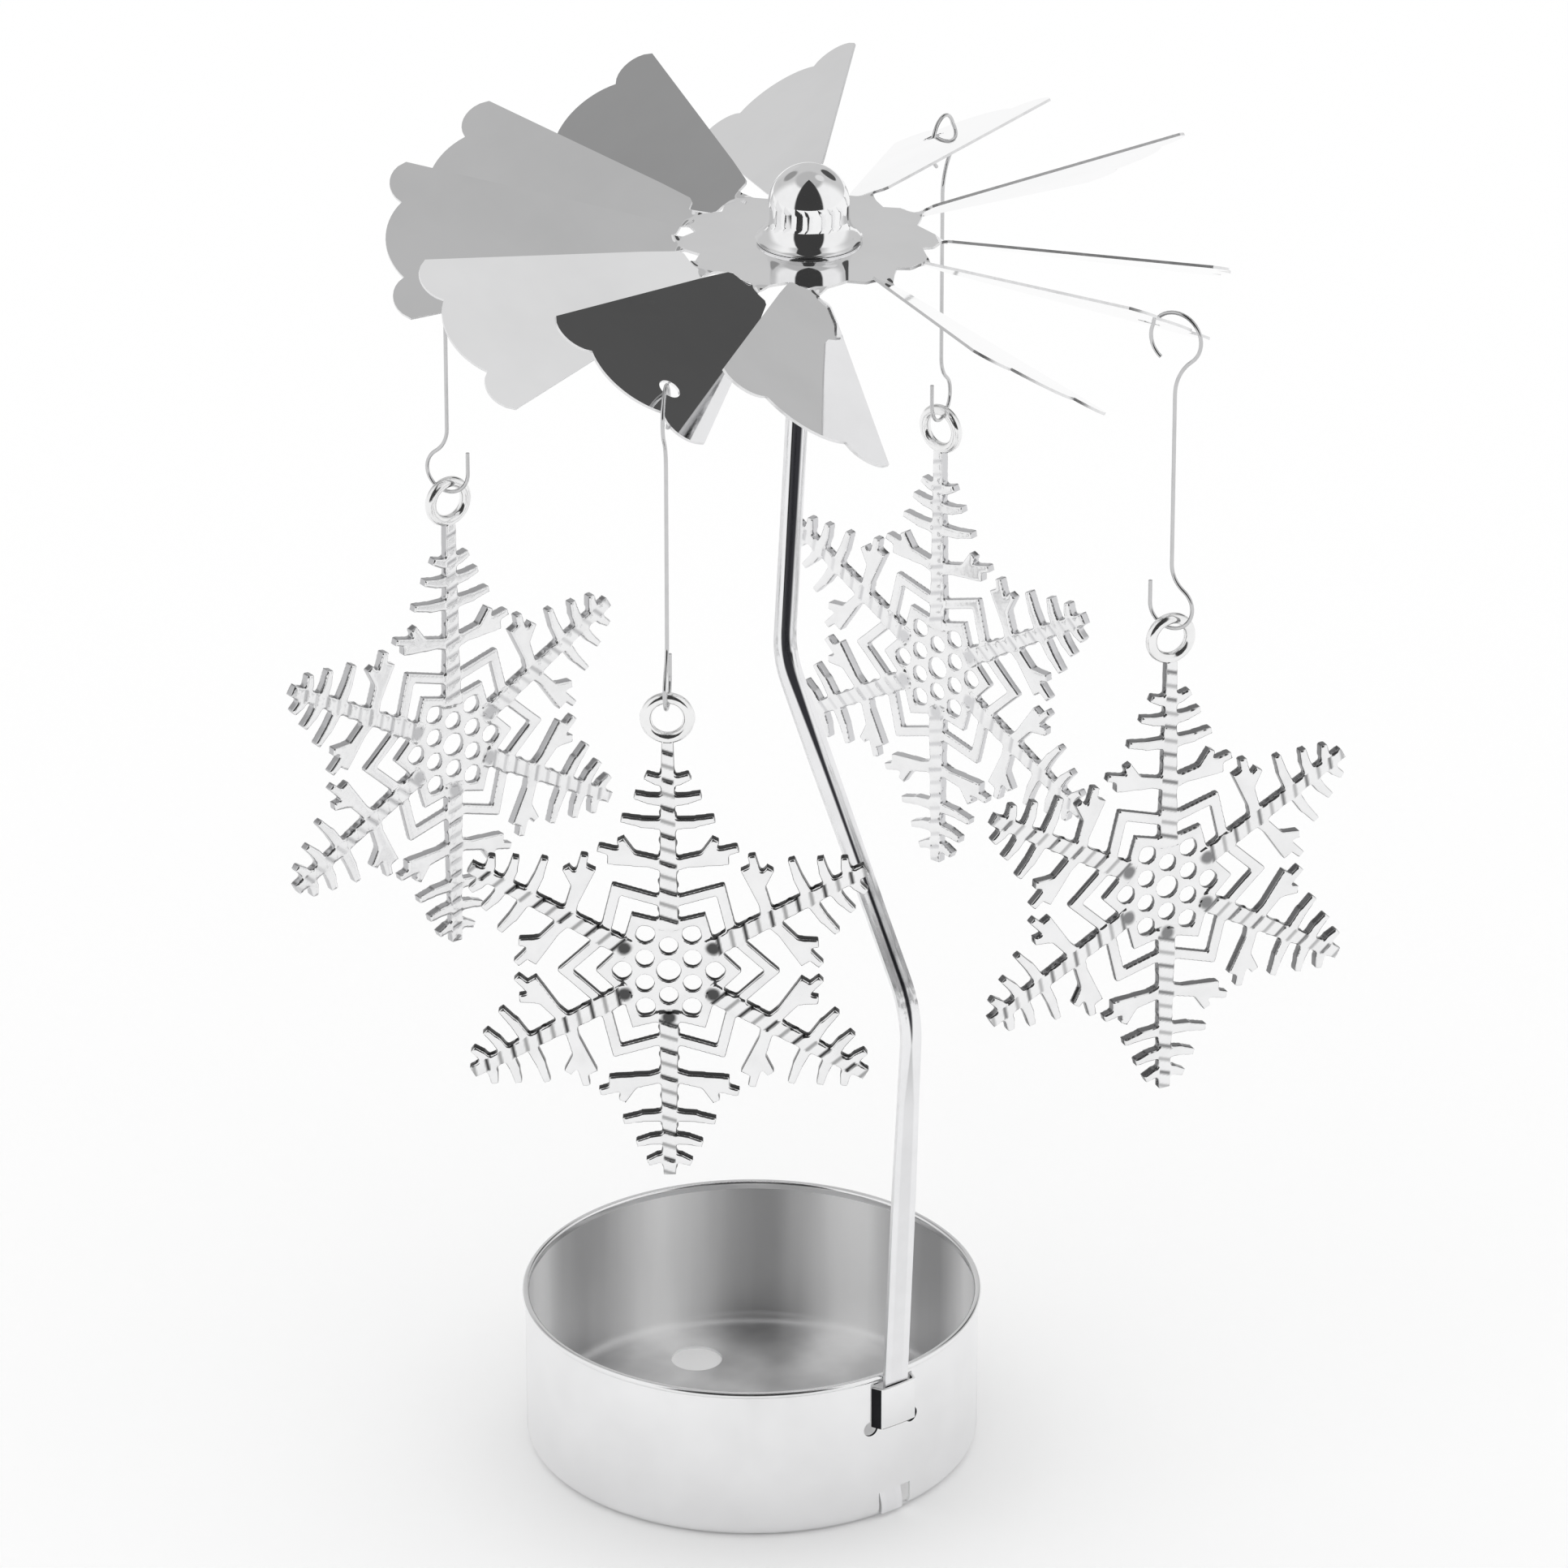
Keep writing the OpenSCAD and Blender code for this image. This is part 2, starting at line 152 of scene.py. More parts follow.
def clean(piece):
    """Merges doubles and turns all faces outwards."""
    only(piece)
    bpy.ops.object.mode_set(mode="EDIT")
    bpy.ops.mesh.select_all(action="SELECT")
    bpy.ops.mesh.remove_doubles(threshold=0.001 * mm)
    bpy.ops.mesh.normals_make_consistent(inside=False)
    bpy.ops.object.mode_set(mode="OBJECT")


def smooth(piece, angle):
    """Smooth shading, with edges sharper than the angle left crisp."""
    only(piece)
    bpy.ops.object.shade_smooth_by_angle(angle=math.radians(angle))


def turned(name, centre, stations, around, fill="NGON"):
    """A skin turned about the upright line through centre, through radii and heights."""
    r, z = stations[0]
    piece = fresh(bpy.ops.mesh.primitive_circle_add, name, vertices=around, radius=r,
                  fill_type=fill, location=(centre.x, centre.y, z))
    bpy.ops.object.mode_set(mode="EDIT")
    bpy.ops.mesh.select_all(action="SELECT")
    for r_next, z_next in stations[1:]:
        bpy.ops.mesh.extrude_edges_move(TRANSFORM_OT_translate={"value": (0, 0, z_next - z)})
        bpy.ops.transform.resize(value=(r_next / r, r_next / r, 1),
                                 center_override=(centre.x, centre.y, z_next))
        r, z = r_next, z_next
    bpy.ops.object.mode_set(mode="OBJECT")
    return piece


def arc(r, z, radius, start, end, steps):
    """Radii and heights round a bend about (r, z), in degrees from outwards to up."""
    turns = [math.radians(start + (end - start) * k / steps) for k in range(steps + 1)]
    return [(r + radius * math.cos(a), z + radius * math.sin(a)) for a in turns]


def laid(name, rows):
    """A grid laid through rows of places, and shaped by them."""
    piece = fresh(bpy.ops.mesh.primitive_grid_add, name, x_subdivisions=len(rows[0]) - 1,
                  y_subdivisions=len(rows) - 1, size=mm)
    places = [place for row in rows for place in row]
    for v, place in zip(piece.data.vertices, places):
        v.co = place
    return piece


def add_node(tree, kind, sockets, **settings):
    """Adds a shader node, and sets or joins its sockets."""
    node = tree.nodes.new(kind)
    for key, value in settings.items():
        setattr(node, key, value)
    for key, value in sockets.items():
        if isinstance(value, bpy.types.NodeSocket):
            tree.links.new(value, node.inputs[key])
        else:
            node.inputs[key].default_value = value
    return node


def make_wear():
    """Fine wear that all the plated pieces share: cloudy film, hairlines and a low ripple."""
    tree = bpy.data.node_groups.new("plated_wear", "ShaderNodeTree")
    for name, value in [("Film size", 120), ("Hairline size", 900), ("Ripple size", 60)]:
        socket = tree.interface.new_socket(name, in_out="INPUT", socket_type="NodeSocketFloat")
        socket.default_value = value
    for name in ["Film", "Hairlines", "Ripple"]:
        tree.interface.new_socket(name, in_out="OUTPUT", socket_type="NodeSocketFloat")
    given = tree.nodes.new("NodeGroupInput")
    place = tree.nodes.new("ShaderNodeTexCoord").outputs["Object"]
    film = add_node(tree, "ShaderNodeTexNoise",
                    {"Vector": place, "Scale": given.outputs["Film size"], "Detail": 4,
                     "Roughness": 0.6})
    film_mask = add_node(tree, "ShaderNodeMapRange",
                         {"Value": film.outputs[0], "From Min": 0.42, "From Max": 0.72})
    slanted = add_node(tree, "ShaderNodeMapping",
                       {"Vector": place, "Rotation": (0.5, 0.3, 0.8), "Scale": (1, 0.06, 0.06)})
    lines = add_node(tree, "ShaderNodeTexNoise",
                     {"Vector": slanted.outputs[0], "Scale": given.outputs["Hairline size"],
                      "Detail": 2})
    line_mask = add_node(tree, "ShaderNodeMapRange",
                         {"Value": lines.outputs[0], "From Min": 0.6, "From Max": 0.75})
    ripple = add_node(tree, "ShaderNodeTexNoise",
                      {"Vector": place, "Scale": given.outputs["Ripple size"], "Detail": 1})
    add_node(tree, "NodeGroupOutput",
             {"Film": film_mask.outputs[0], "Hairlines": line_mask.outputs[0],
              "Ripple": ripple.outputs[0]})
    return tree


plated_wear = make_wear()


def scaled(tree, value, low, high):
    """A mask stretched to run from low to high."""
    return add_node(tree, "ShaderNodeMapRange",
                    {"Value": value, "To Min": low, "To Max": high}).outputs[0]


def plated(name, colour, roughness, rough_film, ripple_depth, **sizes):
    """Bright metal with film in its gloss and a ripple in its surface."""
    material = bpy.data.materials.new(name)
    material.use_nodes = True
    tree = material.node_tree
    shader = tree.nodes["Principled BSDF"]
    shader.inputs["Metallic"].default_value = 1
    wear = add_node(tree, "ShaderNodeGroup", sizes, node_tree=plated_wear)
    dulled = [film_tone * c for c in colour[:3]] + [1]
    tint = add_node(tree, "ShaderNodeMix", {0: wear.outputs["Film"], 6: colour, 7: dulled},
                    data_type="RGBA")
    tree.links.new(tint.outputs[2], shader.inputs["Base Color"])
    gloss = scaled(tree, wear.outputs["Film"], roughness, rough_film)
    scratch = add_node(tree, "ShaderNodeMath",
                       {0: wear.outputs["Hairlines"], 1: scratch_roughness, 2: gloss},
                       operation="MULTIPLY_ADD")
    tree.links.new(scratch.outputs[0], shader.inputs["Roughness"])
    bump = add_node(tree, "ShaderNodeBump",
                    {"Height": wear.outputs["Ripple"], "Strength": 1, "Distance": ripple_depth})
    tree.links.new(bump.outputs[0], shader.inputs["Normal"])
    return material


def satin(name):
    """Satin tin, lighter and less metallic in broad upright bands round the wall and in upright
    cloudy streaks.
    """
    material = plated(name, satin_light, 0.44, 0.52, 0.004 * mm, **{"Film size": 90})
    tree = material.node_tree
    shader = tree.nodes["Principled BSDF"]
    place = tree.nodes.new("ShaderNodeTexCoord").outputs["Object"]
    xyz = add_node(tree, "ShaderNodeSeparateXYZ", {0: place})
    turn = add_node(tree, "ShaderNodeMath", {0: xyz.outputs["Y"], 1: xyz.outputs["X"]},
                    operation="ARCTAN2")
    phase = add_node(tree, "ShaderNodeMath",
                     {0: turn.outputs[0], 1: band_count, 2: -band_count * band_turn},
                     operation="MULTIPLY_ADD")
    wave = add_node(tree, "ShaderNodeMath", {0: phase.outputs[0]}, operation="COSINE")
    flat_place = add_node(tree, "ShaderNodeVectorMath", {0: place, 1: (1, 1, 0)},
                          operation="MULTIPLY")
    reach = add_node(tree, "ShaderNodeVectorMath", {0: flat_place.outputs[0]}, operation="LENGTH")
    on_wall = add_node(tree, "ShaderNodeMapRange",
                       {"Value": reach.outputs["Value"], "From Min": 0.5 * wall_r,
                        "From Max": wall_r - floor_bend_r})
    bands = add_node(tree, "ShaderNodeMath", {0: wave.outputs[0], 1: on_wall.outputs[0]},
                     operation="MULTIPLY")
    upright = add_node(tree, "ShaderNodeMapping",
                       {"Vector": place, "Scale": (1, 1, cloud_stretch)})
    cloudy = add_node(tree, "ShaderNodeTexNoise",
                      {"Vector": upright.outputs[0], "Scale": cloud_size, "Detail": 2,
                       "Roughness": 0.5})
    cloudy_bands = add_node(tree, "ShaderNodeMath",
                            {0: cloudy.outputs[0], 1: cloud_weight, 2: bands.outputs[0]},
                            operation="MULTIPLY_ADD")
    dull = add_node(tree, "ShaderNodeMapRange",
                    {"Value": cloudy_bands.outputs[0], "From Min": dull_from,
                     "From Max": dull_to})
    metallic = scaled(tree, dull.outputs[0], 1, dull_metallic)
    tree.links.new(metallic, shader.inputs["Metallic"])
    tint = add_node(tree, "ShaderNodeMix",
                    {0: dull.outputs[0], 6: satin_dark, 7: satin_light}, data_type="RGBA")
    tree.links.new(tint.outputs[2], shader.inputs["Base Color"])
    return material


cup = turned(
    "cup_tin", Vector((0, 0, 0)),
    [(wall_r - floor_bend_r, tin_t / 2)]
    + arc(wall_r - floor_bend_r, floor_bend_r, floor_bend_r - tin_t / 2, -90, 0, 8)[1:]
    + [(wall_mid_r, slit_z), (wall_mid_r, cup_h - 2.6 * bead_r)]
    + arc(rim_r - bead_r, cup_h - bead_r, bead_r - tin_t / 2, 180, -100, 14),
    around=256)
modify(cup, "SOLIDIFY", thickness=tin_t, offset=0, use_even_offset=True)
clean(cup)
cut(cup, fresh(bpy.ops.mesh.primitive_cube_add, "window", size=1,
               location=(wall_r, 0, (slit_z - slit_h / 2 + strap_top_z) / 2),
               scale=(4 * strap_stand, 2 * strap_half_w, strap_top_z - slit_z + slit_h / 2)))
for turn in (-slit_turn, slit_turn):
    cut(cup, fresh(bpy.ops.mesh.primitive_cylinder_add, "relief", vertices=48, radius=relief_r,
                   depth=2 * floor_bend_r, rotation=(0, math.pi / 2, turn),
                   location=(wall_r * math.cos(turn), wall_r * math.sin(turn), slit_z)))
cut(cup, fresh(bpy.ops.mesh.primitive_cube_add, "foot_slot", size=1,
               location=(wall_r, foot_slot_side + foot_slot_w / 2, (2 * tin_t + foot_slot_z) / 2),
               scale=(floor_bend_r, foot_slot_w, foot_slot_z - 2 * tin_t)))
cut(cup, fresh(bpy.ops.mesh.primitive_cylinder_add, "floor_hole", vertices=96,
               radius=floor_hole_r, depth=4 * tin_t, location=floor_hole_place))

# The strap is fast at one side, and its free side is bent in until it holds the stem. Its
# outline has shares of the slit's turn, and of how far the strap stands out from the wall.
strap_turns = [(1.12, 0), (1, 0), (0.94, 0.2), (0.86, 0.75), (0.78, 1)]
strap_turns += [(0.78 - 0.13 * k, 1) for k in range(1, 12)] + [(-0.72, 0.97), (-0.77, 0.84),
                                                                  (-0.86, 0.42), (-0.95, 0.04)]
strap_rows = []
for share, out in strap_turns:
    r = wall_mid_r + out * strap_stand
    turn = share * slit_turn
    strap_rows.append([Vector((r * math.cos(turn), r * math.sin(turn), z))
                       for z in (slit_z + slit_h / 2, strap_top_z - slit_h / 2)])
strap = laid("strap", strap_rows)
modify(strap, "SOLIDIFY", thickness=tin_t, offset=0, use_even_offset=True)
modify(strap, "BEVEL", width=strap_bevel, segments=2, limit_method="ANGLE")
clean(strap)
cup = join("cup_tin", [cup, strap])
cup.data.materials.append(plated("tin_bright", tin_colour, 0.16, 0.22, 0.006 * mm,
                                 **{"Film size": 70, "Hairline size": 700, "Ripple size": 90}))
cup.data.materials.append(satin("tin_satin"))
cup.data.materials.append(plated("tin_shaded", shade_colour, 0.5, 0.6, 0.006 * mm))
# The strap's bent-in side, its underside and the cut edges low in the wall get painted shade, and
# its top edge is satin. Places round the wall are shares of the slit's turn, and a face looks
# a way where its normal passes facing.
facing = 0.3
floor_facing = 0.5
strap_end = 0.98
bent_in_end = -0.76
relief_end = 1.4
for face in cup.data.polygons:
    r = face.center.xy.length
    z = face.center.z
    turn = math.atan2(face.center.y, face.center.x) / slit_turn
    outwards = face.normal.xy.dot(face.center.xy)
    looks_in = outwards < 0
    on_strap = abs(turn) < strap_end and slit_z < z < strap_top_z
    upright = abs(face.normal.z) < facing
    behind = on_strap and upright and (turn < bent_in_end or (looks_in and r > wall_r))
    below = on_strap and face.normal.z < -facing
    sideways = abs(outwards) < facing * r
    low = floor_bend_r < z < slit_z + relief_r
    in_wall = wall_r - tin_t < r < wall_r
    cut_edge = sideways and low and in_wall and abs(turn) < relief_end
    if behind or below or cut_edge:
        face.material_index = 2
    elif on_strap and face.normal.z > facing:
        face.material_index = 1
    faces_in = looks_in and z < cup_h - 2 * bead_r
    on_floor = face.normal.z > floor_facing and z < floor_bend_r
    if r < wall_r and (faces_in or on_floor) and face.material_index == 0:
        face.material_index = 1
smooth(cup, 30)
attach(cup, "base")
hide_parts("cup")


# Stem: one bright plated steel strip, rolled to a channel that opens outwards, is shallow on the
# slant and runs out flat below it. It is bent at two places, woven in behind the strap and out
# at the foot, and its top end is pinched to the point that the cap turns on.
stem_t = 0.5 * mm
stem_half_w = 1.85 * mm
channel_d = 0.4 * mm
channel_middle = 0.4
wall_gap = 0.05 * mm
inner_x = math.sqrt((wall_r - tin_t) ** 2 - stem_half_w ** 2) - stem_t / 2 - wall_gap
outer_x = rim_r + stem_t / 2 + wall_gap
low_bend = Vector((33.2 * mm, 74 * mm))
top_bend = Vector((6.7 * mm, 114.2 * mm))
low_bend_reach = 4.5 * mm
top_bend_reach = 3.5 * mm
hub = Vector(joint_of["rotor_spin"]["pos_m"])
point = Vector((hub.x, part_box("stem")[1].z))
strip_colour = (0.86, 0.86, 0.87, 1)
groove_shade_colour = (0.035, 0.035, 0.04, 1)
groove_blur = 0.1
strip_edge_colour = (0.86, 0.86, 0.865, 1)
# Places across the strip: sideways from edge to edge, and out of the channel.
strip_shares = [(-1, 1), (-0.9, 1), (-0.8, 1), (-0.62, 0.93), (-0.48, 0.6), (-0.34, 0.22),
                (-0.18, 0.04), (0, 0), (0.18, 0.04), (0.34, 0.22), (0.48, 0.6), (0.62, 0.93),
                (0.8, 1), (0.9, 1), (1, 1)]


def rounded(corner, before, after, reach, steps):
    """Places on a smooth bend that cuts a corner."""
    start = corner + (before - corner).normalized() * reach
    end = corner + (after - corner).normalized() * reach
    shares = [k / steps for k in range(steps + 1)]
    return [start * (1 - s) ** 2 + corner * (2 * s * (1 - s)) + end * s ** 2 for s in shares]


rim_place = Vector((outer_x, cup_h))
stem_way = [Vector((wall_mid_r, 2.4 * tin_t)), Vector((wall_mid_r, 0.55 * foot_slot_z))]
stem_way += [Vector((inner_x, foot_slot_z)), Vector((inner_x, slit_z - 2 * slit_h))]
stem_way += [Vector(((inner_x + outer_x) / 2 + stem_t / 5, (slit_z + strap_top_z) / 2))]
stem_way += [Vector((outer_x, strap_top_z)), rim_place]
stem_way += [rim_place.lerp(low_bend, 0.25 * k) for k in (1, 2, 3)]
stem_way += rounded(low_bend, rim_place, top_bend, low_bend_reach, 10)
stem_way += [low_bend.lerp(top_bend, 0.28), low_bend.lerp(top_bend, 0.5),
             low_bend.lerp(top_bend, 0.7)]
stem_way += rounded(top_bend, low_bend, point, top_bend_reach, 8)
stem_way += [top_bend.lerp(point, 0.3), top_bend.lerp(point, 0.6), top_bend.lerp(point, 0.88)]
stem_way += [top_bend.lerp(point, 0.92), top_bend.lerp(point, 0.96), point]


def between(z, table):
    """Reads a table of heights and values at the height z."""
    for (z0, v0), (z1, v1) in zip(table, table[1:]):
        if z <= z1:
            return v0 + (v1 - v0) * max(0, z - z0) / (z1 - z0)
    return table[-1][1]


# Height of the centre line, and the share of the full width and of the full depth there.
width_shares = [(0, 0.9), (foot_slot_z, 0.92), (slit_z, 0.94), (strap_top_z, 0.98), (cup_h, 1),
                (48 * mm, 0.98), (63.5 * mm, 0.86), (71 * mm, 0.83), (85 * mm, 0.82),
                (102 * mm, 0.94), (112 * mm, 0.92), (117 * mm, 0.88), (173 * mm, 0.86),
                (179 * mm, 0.72), (point.y, 0.1)]
depth_shares = [(cup_h, 0.02), (29 * mm, 0.04), (48 * mm, 0.06), (63.5 * mm, 0.08), (71 * mm, 0.1),
                (102 * mm, 0.14), (112 * mm, 0.4), (120 * mm, 1), (173 * mm, 0.85),
                (179 * mm, 0.6), (point.y, 0.02)]
# Height, and how wide and how dark the band of painted shade in the channel is.
band_widths = [(64 * mm, 0.5), (69 * mm, 0.03), (70 * mm, 0.03), (74 * mm, 0.21), (92 * mm, 0.14),
               (104 * mm, 0.2), (113 * mm, 0.42), (150 * mm, 0.54), (176 * mm, 0.5),
               (point.y, 0.4)]
band_shade_tones = [(cup_h, 0.03), (40 * mm, 0.1), (66 * mm, 0.12), (69.4 * mm, 0.3), (70 * mm, 1),
              (point.y, 1)]

stem = fresh(bpy.ops.mesh.primitive_grid_add, "stem_strip", x_subdivisions=1,
             y_subdivisions=len(strip_shares) - 1, size=mm)
bpy.ops.object.mode_set(mode="EDIT")
choose(stem, lambda place: place.x > 0)
bpy.ops.mesh.delete(type="VERT")
bpy.ops.object.mode_set(mode="OBJECT")
way_length = 0
width = between(stem_way[0].y, width_shares)
depth = between(stem_way[0].y, depth_shares)
for v, (side, out) in zip(stem.data.vertices, strip_shares):
    v.co = (stem_way[0].x + (out - channel_middle) * channel_d * depth,
            side * stem_half_w * width, 0)
bpy.ops.object.mode_set(mode="EDIT")
bpy.ops.mesh.select_all(action="SELECT")
lengths = [0]
for before, after in zip(stem_way, stem_way[1:]):
    step = (after - before).length
    way_length += step
    lengths.append(way_length)
    new_width = between(after.y, width_shares)
    new_depth = between(after.y, depth_shares)
    bpy.ops.mesh.extrude_region_move(TRANSFORM_OT_translate={"value": (0, 0, step)})
    bpy.ops.transform.resize(value=(new_depth / depth, new_width / width, 1),
                             center_override=(stem_way[0].x, 0, way_length))
    width, depth = new_width, new_depth
bpy.ops.object.mode_set(mode="OBJECT")
modify(stem, "SOLIDIFY", thickness=stem_t, offset=0, use_even_offset=True)
clean(stem)

# The strip's outer face carries its place across, and the painted shade band's width and darkness.
across = stem.data.color_attributes.new("channel", "FLOAT_COLOR", "POINT")
side_faces = {v.index: Vector() for v in stem.data.vertices}
for face in stem.data.polygons:
    for index in face.vertices:
        side_faces[index] += face.normal
heights = [(length, place.y) for length, place in zip(lengths, stem_way)]
for v in stem.data.vertices:
    z = between(v.co.z, heights)
    side = v.co.y / (stem_half_w * between(z, width_shares))
    dark = between(z, band_shade_tones) if side_faces[v.index].x > 0 else 0
    across.data[v.index].color = (0.5 + side / 4, between(z, band_widths), dark, 1)

# The bends, from the top down. Each turns what lies above it by more than the margin.
bend_margin = 0.1 * mm
bpy.ops.object.mode_set(mode="EDIT")
for k in range(len(stem_way) - 2, -1, -1):
    ahead = stem_way[k + 1] - stem_way[k]
    behind = stem_way[k] - stem_way[k - 1] if k > 0 else Vector((0, 1))
    bend = math.atan2(ahead.x, ahead.y) - math.atan2(behind.x, behind.y)
    choose(stem, lambda place: place.z > lengths[k] + bend_margin)
    bpy.ops.transform.rotate(value=-bend, orient_axis="Y",
                             center_override=(stem_way[0].x, 0, lengths[k]))
bpy.ops.mesh.select_all(action="SELECT")
bpy.ops.transform.translate(value=(0, 0, stem_way[0].y))
bpy.ops.object.mode_set(mode="OBJECT")
smooth(stem, 40)


def grooved(name):
    """Plated strip with a band of painted shade in its channel."""
    material = plated(name, strip_colour, 0.12, 0.18, 0.004 * mm,
                      **{"Film size": 160, "Ripple size": 120})
    tree = material.node_tree
    shader = tree.nodes["Principled BSDF"]
    plain = shader.inputs["Base Color"].links[0].from_socket
    marks = add_node(tree, "ShaderNodeAttribute", {}, attribute_name="channel")
    parts = add_node(tree, "ShaderNodeSeparateColor", {0: marks.outputs["Color"]})
    side = add_node(tree, "ShaderNodeMath", {0: parts.outputs[0], 1: 0.5}, operation="SUBTRACT")
    off = add_node(tree, "ShaderNodeMath", {0: side.outputs[0]}, operation="ABSOLUTE")
    inside = add_node(tree, "ShaderNodeMath",
                      {0: off.outputs[0], 1: -4, 2: parts.outputs[1]}, operation="MULTIPLY_ADD")
    band = add_node(tree, "ShaderNodeMapRange",
                    {"Value": inside.outputs[0], "From Min": -groove_blur,
                     "From Max": groove_blur, "To Max": parts.outputs[2]},
                    interpolation_type="SMOOTHSTEP")
    tint = add_node(tree, "ShaderNodeMix", {0: band.outputs[0], 6: plain, 7: groove_shade_colour},
                    data_type="RGBA")
    tree.links.new(tint.outputs[2], shader.inputs["Base Color"])
    return material


stem.data.materials.append(grooved("strip_plated"))
stem.data.materials.append(plated("strip_sheared", strip_edge_colour, 0.4, 0.5, 0.001 * mm,
                                  **{"Film size": 600, "Ripple size": 900}))
sheared_normal_y = 0.8
for face in stem.data.polygons:
    face.material_index = 1 if abs(face.normal.y) > sheared_normal_y else 0
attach(stem, "base")
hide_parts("stem")


# Rotor: twelve blades and a star plate stamped from one mirror-bright sheet. Each blade is
# twisted at its narrow neck by hand, so no two lean quite alike, and four have a hook hole.
sheet_t = 0.35 * mm
slot_r = 14.2 * mm
neck_start = 15.3 * mm
neck_start_half_w = 2.2 * mm
neck_r = 16.35 * mm
neck_half_w = 1.3 * mm
neck_end = 17 * mm
neck_steps = 8
shoulder_r = 17.1 * mm
shoulder_slot_half_w = 2 * mm
shoulder_len = 0.5 * mm
tip_r = 49.4 * mm
slot_half_w = 1.5 * mm
blade_step = 30
slope = math.tan(math.radians(blade_step / 2))
tip_half_w = tip_r * slope - slot_half_w
cusp_share = 0.48
cusp_x = tip_r + 0.06 * tip_half_w
middle_lobe_rise = 0.18 * tip_half_w
side_lobe_rise = 0.15 * tip_half_w
side_lobe_steps = 9
middle_lobe_steps = 16
blade_places = [22 * mm, 28 * mm, 34 * mm, 40 * mm, 45 * mm]
sheared_normal_z = 0.5
hole_inset = 3.9 * mm
hole_side = 3.9 * mm
hole_r = 1.4 * mm
blade_twist = 33
rotor_turn = -63.5
charm_blades = {0: "a", 3: "b", 6: "c", 9: "d"}
cap_hole_r = 5.1 * mm
sheet_colour = (0.9, 0.9, 0.905, 1)
sheared_colour = (0.8, 0.8, 0.805, 1)
# Each blade's veer, extra twist and rise in degrees.
blade_sets = [(0, 0, 0), (-4, 0, -5), (0, 0, -3), (-3, -4, -2), (-5, -9, -6), (0, 0, 0),
              (1, -9, -3), (0, 0, 1), (0, 0, 1), (0, -2, 1), (0, 0, 3), (0, 0, -2)]


def lobe(y, start, end, rise):
    """How far out an arc that bulges by rise between two places lies at the side place y."""
    half = (end - start).length / 2
    r = (half * half + rise * rise) / (2 * rise)
    along = (end - start).normalized()
    out = Vector((along.y, -along.x))
    centre = (start + end) / 2 - out * (r - rise)
    return centre.x + math.sqrt(max(0, r * r - (y - centre.y) ** 2))


corner = Vector((tip_r, tip_half_w))
cusp = Vector((cusp_x, cusp_share * tip_half_w))
cusp_low = Vector((cusp_x, -cusp_share * tip_half_w))


def tip_x(y):
    """The blade's three-lobed end at the side place y."""
    if abs(y) <= cusp.y:
        return lobe(y, cusp_low, cusp, middle_lobe_rise)
    return lobe(abs(y), cusp, corner, side_lobe_rise)


side_lobe_shares = [(1 - cusp_share) * k / side_lobe_steps for k in range(side_lobe_steps + 1)]
side_shares = [-1 + share for share in side_lobe_shares]
side_shares += [-cusp_share + 2 * cusp_share * k / middle_lobe_steps
                for k in range(1, middle_lobe_steps)]
side_shares += [cusp_share + share for share in side_lobe_shares]
blade_rows = []
neck_places = [neck_start + (neck_end - neck_start) * k / neck_steps for k in range(neck_steps + 1)]
for x in neck_places:
    share = min(1, (x - neck_start) / (neck_r - neck_start))
    half_w = neck_start_half_w + (neck_half_w - neck_start_half_w) * share
    blade_rows.append([Vector((x, s * half_w, 0)) for s in side_shares])
for x, half_w in [(shoulder_r, shoulder_r * slope - shoulder_slot_half_w),
                  (shoulder_r + shoulder_len, shoulder_r * slope - slot_half_w)]:
    blade_rows.append([Vector((x, s * half_w, 0)) for s in side_shares])
for x in blade_places:
    half_w = x * slope - slot_half_w
    blade_rows.append([Vector((x, s * half_w, 0)) for s in side_shares])
blade_rows.append([Vector((tip_x(s * tip_half_w), s * tip_half_w, 0)) for s in side_shares])
blank = laid("blade_blank", blade_rows)
modify(blank, "SOLIDIFY", thickness=sheet_t, offset=0)
clean(blank)
mirror = plated("sheet_mirror", sheet_colour, 0.03, 0.07, 0.012 * mm,
                **{"Film size": 45, "Ripple size": 30})
sheared = plated("sheet_sheared", sheared_colour, 0.32, 0.42, 0.01 * mm,
                 **{"Film size": 600, "Ripple size": 900})


def two_finishes(piece):
    """Mirror on both sides of the sheet, and the dull finish on its sheared edges."""
    piece.data.materials.append(mirror)
    piece.data.materials.append(sheared)
    for face in piece.data.polygons:
        face.material_index = 1 if abs(face.normal.z) < sheared_normal_z else 0


two_finishes(blank)

star = []
neck_half_turn = math.atan(neck_start_half_w / neck_start)
neck_corner_r = neck_start / math.cos(neck_half_turn)
for i, (veer, _, _) in enumerate(blade_sets):
    middle = math.radians(rotor_turn + blade_step * i + veer)
    valley = math.radians(rotor_turn + blade_step * (i - 0.5))
    star.append((slot_r, valley))
    star.append((neck_corner_r, middle - neck_half_turn))
    star.append((neck_corner_r, middle + neck_half_turn))
plate = fresh(bpy.ops.mesh.primitive_circle_add, "star_plate", vertices=len(star), radius=mm,
              fill_type="NGON", location=hub)
for v, (r, turn) in zip(plate.data.vertices, reversed(star)):
    v.co = hub + Vector((r * math.cos(turn), r * math.sin(turn), 0))
modify(plate, "SOLIDIFY", thickness=sheet_t, offset=0)
clean(plate)
cut(plate, fresh(bpy.ops.mesh.primitive_cylinder_add, "cap_hole", vertices=96,
                 radius=cap_hole_r, depth=4 * sheet_t, location=hub))
two_finishes(plate)

